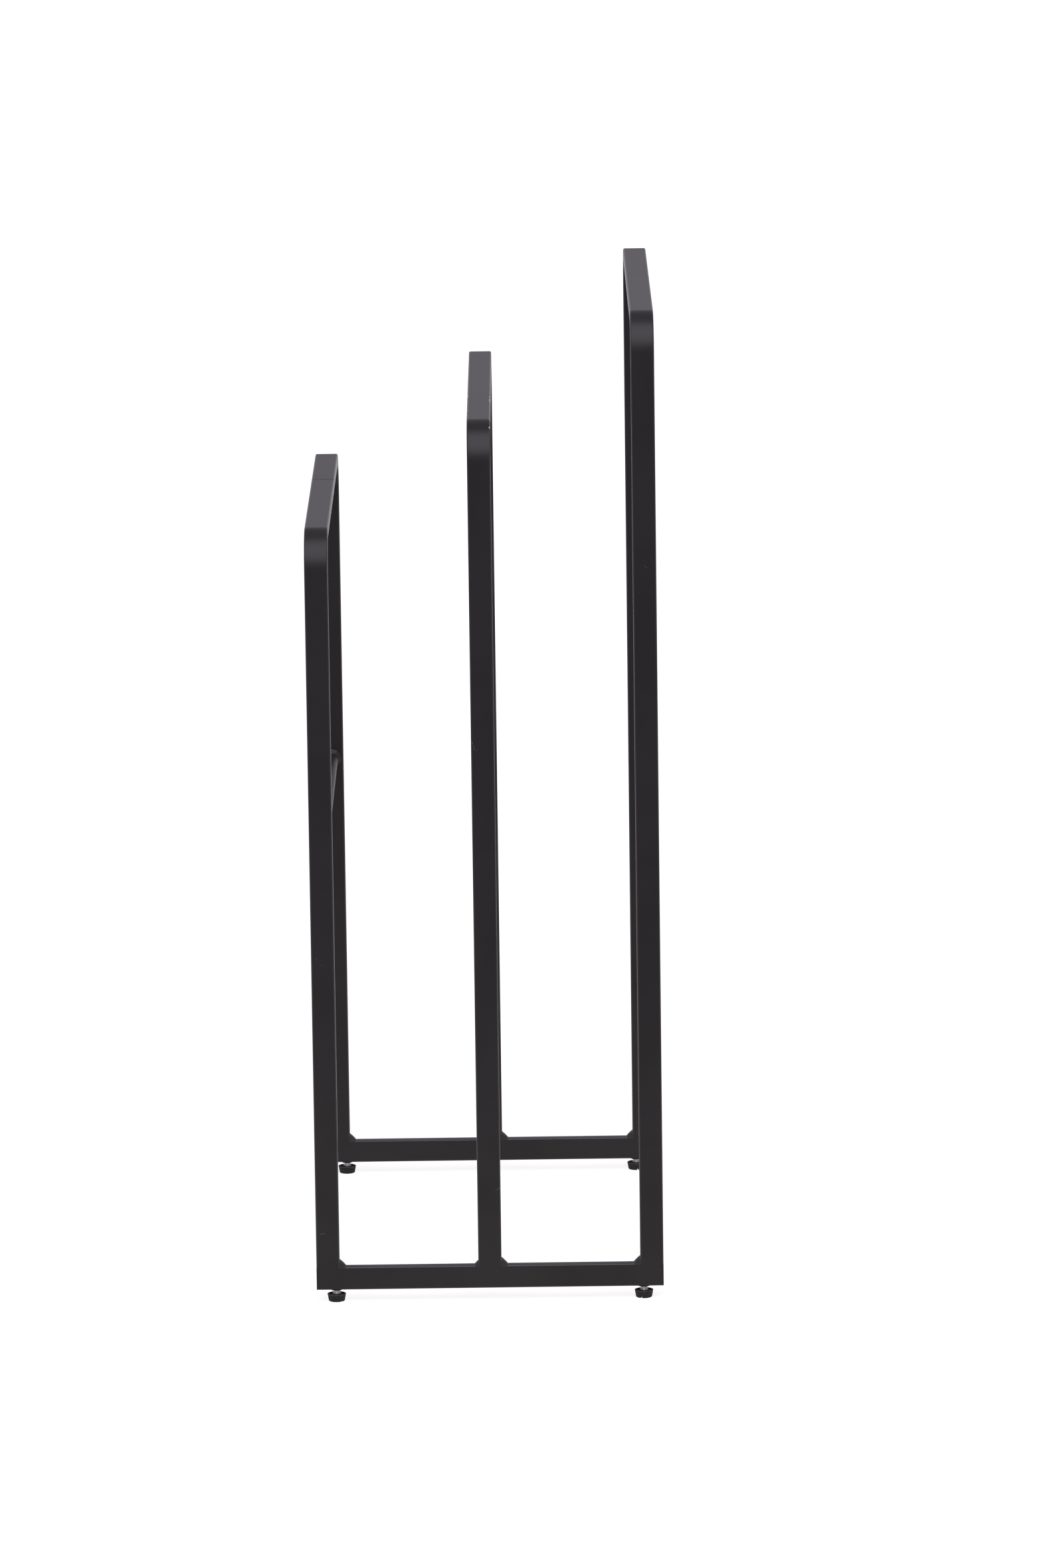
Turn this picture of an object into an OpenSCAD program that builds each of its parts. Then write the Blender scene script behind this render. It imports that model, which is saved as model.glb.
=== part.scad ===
// Free-standing stand of bent flat-tube hoops that step up from the left to the right.
// Millimetres. The origin is on the floor at the middle of the footprint, +X runs from the
// low hoop to the tall one, +Y from the front frame to the back frame and +Z up.

/* [Overall] */
// Width across the rails
stand_w = 298; // [220:1:420]
// Depth from the front frame's face to the back frame's face
stand_d = 496; // [300:1:700]
// Height of the tall hoop above the floor
stand_h = 850; // [650:5:1000]
// Drop from one hoop's top to the next one's
hoop_step = 91; // [40:1:120]

/* [Tube] */
// Wide side of the flat tube
tube_w = 20; // [16:1:30]
// Narrow side of the flat tube
tube_t = 10; // [10:0.5:16]
// Wall of the tube
tube_wall = 1; // [0.8:0.1:1.2]
// Radius along the tube's edges
tube_edge_r = 1.5; // [0.6:0.1:3]
// Outside radius of each hoop's bends
bend_r = 36; // [25:1:60]
// Thickness of the plates that close the rails' ends
end_plate_t = 1.5; // [1:0.1:3]

/* [Arm seams] */
// Place of each hoop's seam behind the middle of its arm, low hoop first
seam_shift = [60, 20, 30]; // [-80:1:80]
// Width of the weld that joins the two halves of an arm
seam_weld_w = 1.5; // [1:0.1:4]

/* [Cross rod] */
// Diameter of the rod in the low hoop
rod_d = 10; // [6:0.5:12]
// Height of the rod's axis above the floor
rod_z = 386; // [150:1:500]

/* [Welds] */
// Leg of the fillet welds in the corners over the rails
weld_leg = 5.5; // [3:0.5:8]
// Leg of the small weld on the low side of the middle post
small_weld_leg = 3; // [2:0.5:5]
// Distance of the fillet welds from the frames' faces
weld_inset = 0.5; // [0:0.1:2]
// Leg of the fillet welds round the ends of the rod
rod_weld_leg = 3; // [1.5:0.5:5]

/* [Feet] */
// Distance of a foot's axis from the end of its rail
foot_inset = 17; // [12:0.5:40]
// Diameter of a foot at its top
foot_d = 16; // [14:0.5:24]
// Diameter of a foot at the floor
foot_base_d = 14; // [12:0.5:24]
// Height of a foot's body
foot_h = 6.5; // [5:0.5:10]
// Height of bare stud between a foot and its rail
foot_gap = 4; // [3:0.5:12]
// Turn of the front left, front right, back left and back right foot's driver slot
slot_turn = [40, -22, 60, 15]; // [-90:1:90]
// Diameter of the studs
stud_d = 6; // [5:0.5:6]
// Length of a stud
stud_len = 22; // [18:0.5:24]
// Length of a threaded bush inside the rail
bush_len = 10; // [6:0.5:14]
// Radial clearance of every turning or threaded fit
thread_gap = 0.03; // [0.02:0.01:0.1]
// Gap between a bush and the tube around it
bush_gap = 0.1; // [0.05:0.05:0.3]

/* [Hidden] */
$fn = 64;

// Plan of the stand
post_x = [-(stand_w - tube_w) / 2, 0, (stand_w - tube_w) / 2];
hoop_top = [stand_h - 2 * hoop_step, stand_h - hoop_step, stand_h];
post_y = (stand_d - tube_t) / 2;
rail_bottom = foot_h + foot_gap;
rail_top = rail_bottom + tube_w;

// Inside of the tube
bore_t = tube_t - 2 * tube_wall;
bush_d = bore_t - 2 * bush_gap;

// Feet
foot_x = stand_w / 2 - foot_inset;
foot_edge_r = 1;
foot_socket_depth = 4.5;
foot_recess_depth = 1.2;
foot_rim = 1.2;
foot_hub_d = stud_d + 3;
slot_w = 1.8;
slot_depth = 1.5;
flange_d = tube_t - 1;
flange_h = 0.8;
stud_chamfer = 0.6;

// Height of the rod's weld at its outer end, on the diameter
weld_toe = 1;

// Small steps that keep a cut from ending on a face
eps = 0.1;

LOW = 0;
MIDDLE = 1;
TALL = 2;
FRONT = -1;
BACK = 1;
LEFT = -1;
RIGHT = 1;

powder_black = "#2b2a2c";
weld_black = "#343235";
zinc = "#c9ccd0";
moulded_black = "#1d1c1d";

// ---- Shared shapes ----

// Rounded outline of the flat tube, x by y
module tube_outline(x, y) {
    square([x - 2 * tube_edge_r, y], center = true);
    square([x, y - 2 * tube_edge_r], center = true);
    for (sx = [-1, 1], sy = [-1, 1])
        translate([sx * (x / 2 - tube_edge_r), sy * (y / 2 - tube_edge_r)])
            circle(tube_edge_r);
}

// Wall of the flat tube in section, x by y
module tube_section(x, y) {
    difference() {
        tube_outline(x, y);
        square([x - 2 * tube_wall, y - 2 * tube_wall], center = true);
    }
}

// Turns a shape so that its own X, Y and Z run along the stand's Y, Z and X
module lay_along_x() {
    rotate([90, 0, 90]) children();
}

// Back half of a hoop: post, bend and arm up to the seam
module half_hoop(top, seam) {
    bend_y = stand_d / 2 - bend_r;
    bend_z = top - bend_r;
    translate([0, post_y, rail_top])
        linear_extrude(bend_z - rail_top) tube_section(tube_w, tube_t);
    translate([0, bend_y, bend_z])
        lay_along_x()
            rotate_extrude(angle = 90)
                translate([bend_r - tube_t / 2, 0]) tube_section(tube_t, tube_w);
    translate([0, bend_y, top - tube_t / 2])
        rotate([90, 0, 0])
            linear_extrude(bend_y - seam - seam_weld_w / 2) tube_section(tube_w, tube_t);
}

module front_upright(hoop) {
    color(powder_black)
        translate([post_x[hoop], 0, 0])
            mirror([0, 1, 0]) half_hoop(hoop_top[hoop], -seam_shift[hoop]);
}

module back_upright(hoop) {
    color(powder_black)
        translate([post_x[hoop], 0, 0]) half_hoop(hoop_top[hoop], seam_shift[hoop]);
}

module rail(side) {
    rail_len = stand_w - 2 * end_plate_t;
    color(powder_black)
        difference() {
            translate([-rail_len / 2, side * post_y, rail_bottom + tube_w / 2])
                lay_along_x() linear_extrude(rail_len) tube_section(tube_t, tube_w);
            for (end = [LEFT, RIGHT])
                translate([end * foot_x, side * post_y, rail_bottom - eps])
                    cylinder(h = tube_wall + 2 * eps, d = bush_d);
        }
}

// Fillet weld that fills the corner between a post's face and the rail's top
module corner_weld(leg) {
    weld_t = tube_t - 2 * weld_inset;
    translate([0, weld_t / 2, 0])
        rotate([90, 0, 0])
            linear_extrude(weld_t) polygon([[0, 0], [leg, 0], [0, leg]]);
}

// Weld ground flush with a frame's face, over the rail's rounded edge under one post
module flush_weld() {
    lay_along_x()
        linear_extrude(tube_w - 2 * tube_edge_r, center = true)
            difference() {
                square(tube_edge_r);
                circle(tube_edge_r);
            }
}

module frame_welds(side) {
    inner = tube_w / 2;
    color(weld_black)
        translate([0, side * post_y, rail_top]) {
            translate([post_x[LOW] + inner, 0, 0]) corner_weld(weld_leg);
            translate([post_x[MIDDLE] + inner, 0, 0]) corner_weld(weld_leg);
            translate([post_x[MIDDLE] - inner, 0, 0]) mirror([1, 0, 0]) corner_weld(small_weld_leg);
            translate([post_x[TALL] - inner, 0, 0]) mirror([1, 0, 0]) corner_weld(weld_leg);
            for (x = post_x, face = [0, 1])
                mirror([0, face, 0])
                    translate([x, tube_t / 2 - tube_edge_r, -tube_edge_r]) flush_weld();
        }
}

module rail_end_plates() {
    color(powder_black)
        for (side = [FRONT, BACK], end = [0, 1])
            mirror([end, 0, 0])
                translate([stand_w / 2 - end_plate_t, side * post_y, rail_bottom + tube_w / 2])
                    lay_along_x() linear_extrude(end_plate_t) tube_outline(tube_t, tube_w);
}

// Butt welds between the halves of the arms, ground flush with the tube
module arm_seam_welds() {
    color(powder_black)
        for (hoop = [LOW, MIDDLE, TALL])
            translate([post_x[hoop], seam_shift[hoop], hoop_top[hoop] - tube_t / 2])
                rotate([90, 0, 0])
                    linear_extrude(seam_weld_w, center = true) tube_section(tube_w, tube_t);
}

module cross_rod() {
    rod_len = stand_d - 2 * tube_t;
    color(powder_black)
        translate([post_x[LOW], rod_len / 2, rod_z])
            rotate([90, 0, 0]) cylinder(h = rod_len, d = rod_d);
}

// Fillet welds round the rod against the posts
module rod_welds() {
    color(weld_black)
        for (side = [0, 1])
            mirror([0, side, 0])
                translate([post_x[LOW], stand_d / 2 - tube_t, rod_z])
                    rotate([90, 0, 0])
                        difference() {
                            cylinder(h = rod_weld_leg, d1 = rod_d + 2 * rod_weld_leg, d2 = rod_d + weld_toe);
                            translate([0, 0, -eps]) cylinder(h = rod_weld_leg + 2 * eps, d = rod_d);
                        }
}

// Bush through the rail's underside, with the flange that shows below it
module threaded_bushes() {
    color(powder_black)
        for (side = [FRONT, BACK], end = [LEFT, RIGHT])
            translate([end * foot_x, side * post_y, rail_bottom])
                difference() {
                    union() {
                        cylinder(h = bush_len, d = bush_d);
                        translate([0, 0, -flange_h]) cylinder(h = flange_h, d = flange_d);
                    }
                    translate([0, 0, -flange_h - eps])
                        cylinder(h = bush_len + flange_h + 2 * eps, r = stud_d / 2 + thread_gap);
                }
}

module stud(side, end) {
    color(zinc)
        translate([end * foot_x, side * post_y, foot_h - foot_socket_depth]) {
            cylinder(h = stud_len - stud_chamfer, d = stud_d);
            translate([0, 0, stud_len - stud_chamfer])
                cylinder(h = stud_chamfer, d1 = stud_d, d2 = stud_d - 2 * stud_chamfer);
        }
}

// Tapered foot with a rounded lower edge, a hollow top, a socket for the stud and a driver slot
module foot(side, end, turn) {
    top_r = foot_d / 2;
    base_r = foot_base_d / 2;
    color(moulded_black)
        translate([end * foot_x, side * post_y, 0])
            difference() {
                rotate_extrude() {
                    polygon([[0, 0], [base_r - foot_edge_r, 0], [base_r, foot_edge_r],
                             [top_r, foot_h], [0, foot_h]]);
                    translate([base_r - foot_edge_r, foot_edge_r]) circle(foot_edge_r);
                }
                translate([0, 0, foot_h - foot_recess_depth])
                    difference() {
                        cylinder(h = foot_recess_depth + eps, r = top_r - foot_rim);
                        translate([0, 0, -eps])
                            cylinder(h = foot_recess_depth + 3 * eps, d = foot_hub_d);
                    }
                translate([0, 0, foot_h - foot_socket_depth])
                    cylinder(h = foot_socket_depth + eps, r = stud_d / 2 + thread_gap);
                rotate(turn)
                    translate([-slot_w / 2, -top_r, -eps]) cube([slot_w, 2 * top_r, slot_depth + eps]);
            }
}

// ---- Nodes ----

module front_low_upright() front_upright(LOW);
module back_low_upright() back_upright(LOW);
module front_middle_upright() front_upright(MIDDLE);
module back_middle_upright() back_upright(MIDDLE);
module front_tall_upright() front_upright(TALL);
module back_tall_upright() back_upright(TALL);
module front_rail() rail(FRONT);
module back_rail() rail(BACK);
module front_frame_welds() frame_welds(FRONT);
module back_frame_welds() frame_welds(BACK);
module front_left_stud() stud(FRONT, LEFT);
module front_right_stud() stud(FRONT, RIGHT);
module back_left_stud() stud(BACK, LEFT);
module back_right_stud() stud(BACK, RIGHT);
module front_left_foot() foot(FRONT, LEFT, slot_turn[0]);
module front_right_foot() foot(FRONT, RIGHT, slot_turn[1]);
module back_left_foot() foot(BACK, LEFT, slot_turn[2]);
module back_right_foot() foot(BACK, RIGHT, slot_turn[3]);

front_low_upright();
back_low_upright();
front_middle_upright();
back_middle_upright();
front_tall_upright();
back_tall_upright();
front_rail();
back_rail();
rail_end_plates();
front_frame_welds();
back_frame_welds();
arm_seam_welds();
cross_rod();
rod_welds();
threaded_bushes();
front_left_stud();
front_right_stud();
back_left_stud();
back_right_stud();
front_left_foot();
front_right_foot();
back_left_foot();
back_right_foot();
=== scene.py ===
import math

import bmesh
import bpy
from bpy.props import FloatProperty, FloatVectorProperty, IntProperty, PointerProperty
from mathutils import Euler, Matrix, Vector, noise


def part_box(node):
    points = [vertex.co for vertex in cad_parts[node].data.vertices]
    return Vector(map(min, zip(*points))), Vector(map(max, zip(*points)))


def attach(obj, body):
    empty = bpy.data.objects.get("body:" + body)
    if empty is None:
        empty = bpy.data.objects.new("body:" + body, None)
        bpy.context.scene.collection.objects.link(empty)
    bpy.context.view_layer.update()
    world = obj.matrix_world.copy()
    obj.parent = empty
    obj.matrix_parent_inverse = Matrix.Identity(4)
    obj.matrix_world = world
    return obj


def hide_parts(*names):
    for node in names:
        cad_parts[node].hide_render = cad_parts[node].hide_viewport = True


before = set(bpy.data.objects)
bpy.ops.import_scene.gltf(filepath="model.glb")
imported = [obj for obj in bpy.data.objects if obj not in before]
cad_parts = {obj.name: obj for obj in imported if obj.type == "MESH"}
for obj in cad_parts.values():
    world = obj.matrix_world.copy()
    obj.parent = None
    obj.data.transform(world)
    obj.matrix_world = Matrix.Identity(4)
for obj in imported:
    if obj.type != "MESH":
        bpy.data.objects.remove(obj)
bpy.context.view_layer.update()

bl_info = {
    "name": "Stepped hoop stand",
    "version": (1, 0, 0),
    "blender": (4, 5, 0),
    "location": "View3D > Sidebar > Stand",
    "description": "Builds the tubes, welds and feet of a free-standing stand of stepped hoops",
    "category": "Object",
}

MM = 0.001
TURN = 2 * math.pi
QUARTER = math.pi / 2

HOOPS = ("low", "middle", "tall")
SIDES = {"front": -1, "back": 1}
ENDS = ("left", "right")
CORNERS = [f"{side}_{end}" for side in SIDES for end in ENDS]


# ---------------------------------------------------------------- sizes and colours

def length(name, description, default):
    """A length that the user can change, in metres."""
    return FloatProperty(
        name=name, description=description, default=default, min=0.0, unit="LENGTH", precision=5)


def colour(name, description, default):
    """A colour that the user can change, in scene-linear values."""
    return FloatVectorProperty(
        name=name, description=description, default=default, size=3, min=0.0, subtype="COLOR")


class TubeSizes(bpy.types.PropertyGroup):
    """Sizes of the flat tube."""
    edge_radius: length("Edge radius", "Radius along the tube's edges", 1.5 * MM)
    bend_radius: length("Bend radius", "Outside radius of each hoop's bends", 36 * MM)
    wall: length("Wall", "Thickness of the tube's wall", 1 * MM)
    bend_dip: length("Bend dip", "How far the outer wall sinks in the middle of a bend", 0.3 * MM)
    seam_chamfer: length(
        "Seam chamfer", "How far back from a seam the arm is ground down", 0.8 * MM)
    corner_steps: IntProperty(
        name="Corner steps", description="Faces round each edge of the tube", default=6, min=2)
    bend_steps: IntProperty(
        name="Bend steps", description="Rings of faces along each bend", default=40, min=8)


class WeldSizes(bpy.types.PropertyGroup):
    """Sizes of the weld beads."""
    leg: length("Leg", "Leg of the fillet welds over the rails", 5.5 * MM)
    small_leg: length("Small leg", "Leg of the weld on the middle post's low side", 3 * MM)
    inset: length("Inset", "Distance of the fillet welds from the frames' faces", 0.12 * MM)
    ripple: length("Ripple", "Height of the ripples in a bead", 0.14 * MM)
    pitch: length("Ripple pitch", "Distance between the ripples", 1.3 * MM)
    seam_depth: FloatVectorProperty(
        name="Seam depth", description="How deep the low, middle and tall arm's seam is ground",
        default=(0.2 * MM, 0.008 * MM, 0.07 * MM), size=3, min=0.0, unit="LENGTH", precision=5)


class FootSizes(bpy.types.PropertyGroup):
    """Sizes of the moulded feet and their studs."""
    base_diameter: length("Base diameter", "Diameter of a foot at the floor", 14 * MM)
    edge_radius: length("Edge radius", "Radius of a foot's lower edge", 1 * MM)
    rim: length("Rim", "Thickness of the rim round a foot's top", 1.2 * MM)
    recess: length("Recess", "Depth of the recess in a foot's top", 1.2 * MM)
    hub_diameter: length("Hub diameter", "Diameter of the hub round the stud", 9 * MM)
    web: length("Web", "Thickness of the webs in a foot's top", 0.8 * MM)
    web_count: IntProperty(
        name="Webs", description="Number of webs in a foot's top", default=6, min=0)
    socket_clearance: length("Socket clearance", "Radial gap between stud and socket", 0.03 * MM)
    rib_depth: length("Rib depth", "Depth of the grooves between the ribs", 0.35 * MM)
    rib_count: IntProperty(
        name="Ribs", description="Number of ribs round a foot", default=44, min=8)
    slot_width: length("Slot width", "Width of the driver slot", 1.8 * MM)
    slot_depth: length("Slot depth", "Depth of the driver slot", 1.5 * MM)
    slot_turn: FloatVectorProperty(
        name="Slot turn", description="Turn of each foot's driver slot",
        default=[math.radians(a) for a in (40, -22, 60, 15)], size=4, unit="ROTATION")
    thread_pitch: length("Thread pitch", "Distance between the threads of a stud", 1 * MM)
    thread_depth: length("Thread depth", "Depth of the threads of a stud", 0.5 * MM)


class FinishColours(bpy.types.PropertyGroup):
    """Colours of the finishes."""
    powder: colour("Powder coat", "Matt black powder coat", (0.0140, 0.0120, 0.0124))
    powder_light: colour(
        "Powder coat light", "Paler clouding in the powder coat", (0.0172, 0.0151, 0.0156))
    # Also a painted highlight: edges are lightened towards this colour where they would catch
    # light.
    powder_thin_and_edge_highlight: colour(
        "Powder coat edges", "Powder coat where it thins over an edge", (0.042, 0.039, 0.041))
    chip: colour("Chips", "Primer that shows in chips and dust specks", (0.34, 0.33, 0.33))
    plastic: colour("Foot plastic", "Moulded black plastic", (0.0095, 0.009, 0.009))
    # Also the painted highlight on the top rim of each foot.
    plastic_scuffed_and_highlit: colour(
        "Worn plastic", "Plastic that is scuffed pale on its edges", (0.035, 0.032, 0.03))
    zinc: colour("Zinc", "Bright zinc plate", (0.83, 0.84, 0.86))
    # Darker zinc, laid in the thread roots and in random tarnish patches.
    zinc_darker: colour("Dull zinc", "Zinc that has dulled between the threads", (0.5, 0.5, 0.49))
    floor: colour("Floor", "Studio floor", (1.0, 0.985, 0.985))


class StageSettings(bpy.types.PropertyGroup):
    """Camera and lights."""
    camera_side: FloatProperty(
        name="Camera side", description="Camera's place along X", default=0.0418, unit="LENGTH")
    camera_distance: length("Camera distance", "Camera's distance in front of the origin", 7.5054)
    camera_height: length("Camera height", "Camera's height above the floor", 1.7995)
    camera_tilt: FloatProperty(
        name="Camera tilt", description="Angle below the horizon", default=0.1838, subtype="ANGLE")
    camera_turn: FloatProperty(
        name="Camera turn", description="Turn about the vertical", default=0.0011, subtype="ANGLE")
    camera_roll: FloatProperty(
        name="Camera roll", description="Turn about the line of sight",
        default=-0.0133, subtype="ANGLE")
    lens: FloatProperty(
        name="Lens", description="Focal length in millimetres", default=199.5, min=20.0)
    softbox: FloatProperty(
        name="Softbox", description="Brightness of the softbox above and in front",
        default=4.2, min=0.0)
    softbox_height: FloatProperty(
        name="Softbox height", description="Softbox's angle above the horizon",
        default=math.radians(60), subtype="ANGLE")
    back_glow: FloatProperty(
        name="Back glow", description="Brightness of the sweep behind the stand",
        default=0.56, min=0.0)
    tint: colour("Tint", "Colour of the light from the room and the softbox", (0.985, 0.95, 1.06))
    room: FloatProperty(
        name="Room", description="Brightness of the walls and ceiling", default=0.33, min=0.0)
    room_floor: FloatProperty(
        name="Room floor", description="Brightness of the floor beyond the sheet",
        default=0.62, min=0.0)
    floor_glow: FloatProperty(
        name="Floor glow", description="Light that the lit-through sheet gives off",
        default=0.85, min=0.0)


PROPERTY_GROUPS = {
    "stand_tube": TubeSizes,
    "stand_weld": WeldSizes,
    "stand_foot": FootSizes,
    "stand_finish": FinishColours,
    "stand_stage": StageSettings,
}


# ---------------------------------------------------------------- shader maths

class Value:
    """A socket in a material's nodes. Arithmetic on it adds Math nodes."""

    def __init__(self, graph, socket):
        self.graph = graph
        self.socket = socket

    def maths(self, operation, *values):
        """A Math node on these values, in the order of its sockets."""
        return self.graph.add("ShaderNodeMath", {"operation": operation}, dict(enumerate(values)))

    def __add__(self, other):
        return self.maths("ADD", self, other)

    def __sub__(self, other):
        return self.maths("SUBTRACT", self, other)

    def __rsub__(self, other):
        return self.maths("SUBTRACT", other, self)

    def __mul__(self, other):
        return self.maths("MULTIPLY", self, other)

    def __abs__(self):
        return self.maths("ABSOLUTE", self)

    def clamp(self):
        """The value held between 0 and 1."""
        return self.graph.add("ShaderNodeClamp", {}, {"Value": self})

    __radd__ = __add__
    __rmul__ = __mul__


class Graph:
    """The node tree of a new material or of the world."""

    def __init__(self, owner):
        owner.use_nodes = True
        self.tree = owner.node_tree
        self.tree.nodes.clear()

    def add(self, kind, settings, sockets, out=0):
        """Adds a node, sets its settings and then its sockets, and gives one of its outputs."""
        node = self.tree.nodes.new(kind)
        for name, setting in settings.items():
            setattr(node, name, setting)
        for name, value in sockets.items():
            if isinstance(value, Value):
                self.tree.links.new(value.socket, node.inputs[name])
            else:
                node.inputs[name].default_value = value
        return Value(self, node.outputs[out]) if node.outputs else node

    def place(self):
        """Places on the object, in metres."""
        return self.add("ShaderNodeTexCoord", {}, {}, "Object")

    def distance(self, middle, place=None):
        """Distance from a point, in metres."""
        return self.vector("DISTANCE", place or self.place(), middle, "Value")

    def noise(self, per_metre, detail=2.0, roughness=0.5):
        """Smooth noise from 0 to 1 with so many features in a metre."""
        return self.add(
            "ShaderNodeTexNoise", {},
            {"Vector": self.place(), "Scale": per_metre, "Detail": detail, "Roughness": roughness})

    def specks(self, per_metre, radius):
        """Small round spots, one in each cell: 1 at a spot's middle and 0 outside it."""
        cells = {"Vector": self.place(), "Scale": per_metre}
        away = self.add("ShaderNodeTexVoronoi", {}, cells, "Distance")
        return ((radius - away) * (1.0 / radius)).clamp()

    def band(self, value, low, high):
        """0 below low, 1 above high, and smooth between."""
        return self.add(
            "ShaderNodeMapRange", {"interpolation_type": "SMOOTHSTEP"},
            {"Value": value, "From Min": low, "From Max": high})

    def line(self, value, core, edge):
        """1 where a value is within core of 0, and 0 where it is further than edge."""
        return 1 - self.band(abs(value), core, edge)

    def mix(self, factor, first, second):
        """A colour between two colours, which are the Mix node's sockets 6 and 7."""
        return self.add(
            "ShaderNodeMix", {"data_type": "RGBA"}, {"Factor": factor, 6: first, 7: second}, 2)

    def vector(self, operation, first, second, out=0):
        """A Vector Math node on two vectors."""
        vectors = {0: first, 1: second}
        return self.add("ShaderNodeVectorMath", {"operation": operation}, vectors, out)

    def wear(self):
        """The edge mask stored on the mesh, 0 on flat faces and up to 1 on edges; it drives wear
        and painted edge highlights.
        """
        return self.add("ShaderNodeAttribute", {"attribute_name": "edge"}, {}, "Fac")

    def bump(self, height, strength, distance):
        """A surface normal from a height, with its highest step in metres."""
        return self.add(
            "ShaderNodeBump", {}, {"Height": height, "Strength": strength, "Distance": distance})

    def surface(self, **sockets):
        """Ends the material in one Principled shader."""
        named = {name.replace("_", " "): value for name, value in sockets.items()}
        shader = self.add("ShaderNodeBsdfPrincipled", {}, named)
        self.add("ShaderNodeOutputMaterial", {}, {"Surface": shader})


def rgba(shade):
    """A property's colour as a node's colour."""
    return (*shade, 1.0)


# ---------------------------------------------------------------- finishes

def new_graph(name):
    """An empty material with its node graph."""
    material = bpy.data.materials.new(name)
    return material, Graph(material)


def knocks():
    """Chips in the middle hoop's edges, as (centre, width, how many times longer than wide)."""
    low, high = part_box("front_middle_upright")
    bend = bpy.context.scene.stand_tube.bend_radius
    inset = 0.35 * MM
    left, right, top = low.x + inset, high.x - inset, high.z - inset
    arm = low.y + bend
    tilt = math.radians(30)
    on_bend = (
        right,
        arm - bend * math.sin(tilt) + inset,
        high.z - bend * (1 - math.cos(tilt)) - inset)
    chips = [(on_bend, 1.9 * MM, 2.0)]
    for x, past_bend, width, stretch in (
            (right, 112, 1.9, 9.0),
            (right, 133, 1.2, 8.0),
            (right, -3, 1.1, 3.0),
            (left, 53, 1.0, 8.0),
            (left, 140, 1.2, 9.0)):
        chips.append(((x, arm + past_bend * MM, top), width * MM, stretch))
    return chips


def scrape():
    """The curved scratch low on the low hoop's front post: hub, radius, middle, half its length."""
    low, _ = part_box("front_low_upright")
    radius = 3.1 * MM
    middle = low + Vector((6, 0, 30)) * MM
    toward_middle = Vector((-0.1, 0.0, 0.99))
    return middle - toward_middle * radius, radius, middle, 2.6 * MM


def powder_coat(name, wear, chips=(), scratches=(), rough=0.31):
    """Matt black powder coat: fine grain over soft peel, clouding, dust specks and edge chips, with
    edges lightened partly as thin coat and partly as a painted highlight.
    """
    colours = bpy.context.scene.stand_finish
    material, graph = new_graph(name)
    grain = graph.noise(2400, detail=2)
    peel = graph.noise(520, detail=1)
    cloud = graph.noise(14, detail=3)
    rub = graph.noise(1300, detail=3, roughness=0.65)
    ragged = graph.noise(900, detail=3, roughness=0.7)
    edge = graph.wear()

    chip = graph.band(edge * wear + graph.noise(420, detail=3, roughness=0.7), 0.86, 0.92)
    for centre, width, stretch in chips:
        squash = (1.0, 1.0 / stretch, 1.0)
        middle = [along * share for along, share in zip(centre, squash)]
        away = graph.distance(middle, graph.vector("MULTIPLY", graph.place(), squash))
        chip = chip + (1 - graph.band(away * (1.0 / width) + ragged, 0.9, 1.05))

    dust = graph.specks(95, 0.022) * graph.band(graph.noise(60), 0.6, 0.64)
    hair = graph.line(graph.noise(55, detail=1) - 0.5, 0.0, 0.003)
    hair = hair * graph.band(graph.noise(47), 0.71, 0.74)
    pale = chip + dust + 0.35 * hair
    for hub, radius, middle, half in scratches:
        line = graph.line(graph.distance(hub) - radius, 0.08 * MM, 0.22 * MM)
        near_middle = 1 - graph.band(graph.distance(middle), 0.8 * half, half)
        pale = pale + 0.4 * rub * line * near_middle
    pale = pale.clamp()

    clouding = graph.band(cloud, 0.3, 0.7)
    coat = graph.mix(clouding, rgba(colours.powder), rgba(colours.powder_light))
    # Lighter along the edges: partly the coat thinning, partly a painted highlight where the
    # rounded edges catch light.
    thin_coat_and_highlight = graph.mix(edge * edge, coat, rgba(colours.powder_thin_and_edge_highlight))
    graph.surface(
        Base_Color=graph.mix(pale, thin_coat_and_highlight, rgba(colours.chip)),
        Roughness=rough + 0.02 * cloud + 0.05 * rub - 0.08 * edge + 0.2 * pale,
        IOR=1.26,
        Normal=graph.bump(0.5 * grain + 0.5 * peel, 0.5, 0.06 * MM),
    )
    return material


def weld_coat():
    """Powder coat over a weld bead: grainier, with spatter and more bare specks."""
    colours = bpy.context.scene.stand_finish
    material, graph = new_graph("bead_coat")
    grain = graph.noise(1500, detail=4, roughness=0.65)
    lumps = graph.noise(600, detail=2)
    spatter = graph.specks(420, 0.3)
    toe = graph.wear()
    bare = graph.band(graph.noise(900, detail=3) + 0.16 * toe, 0.74, 0.8)
    coat = graph.mix(0.3 * lumps + 0.3 * toe, rgba(colours.powder), rgba(colours.powder_thin_and_edge_highlight))
    graph.surface(
        Base_Color=graph.mix(0.7 * bare, coat, rgba(colours.chip)),
        Roughness=0.34 + 0.2 * grain,
        IOR=1.3,
        Normal=graph.bump(0.4 * grain + 0.4 * lumps + 0.3 * spatter, 0.4, 0.1 * MM),
    )
    return material


def bright_zinc():
    """Bright zinc plate, darker in the thread roots and in random tarnish patches."""
    colours = bpy.context.scene.stand_finish
    material, graph = new_graph("bright_zinc")
    root = 1 - graph.wear()
    tarnish = graph.noise(700, detail=3)
    darker = (root * 0.7 + 0.3 * tarnish).clamp()
    graph.surface(
        Base_Color=graph.mix(darker, rgba(colours.zinc), rgba(colours.zinc_darker)),
        Metallic=1.0,
        Roughness=0.2 + 0.2 * tarnish,
        Normal=graph.bump(graph.noise(2600, detail=2), 0.2, 0.03 * MM),
    )
    return material


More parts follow.
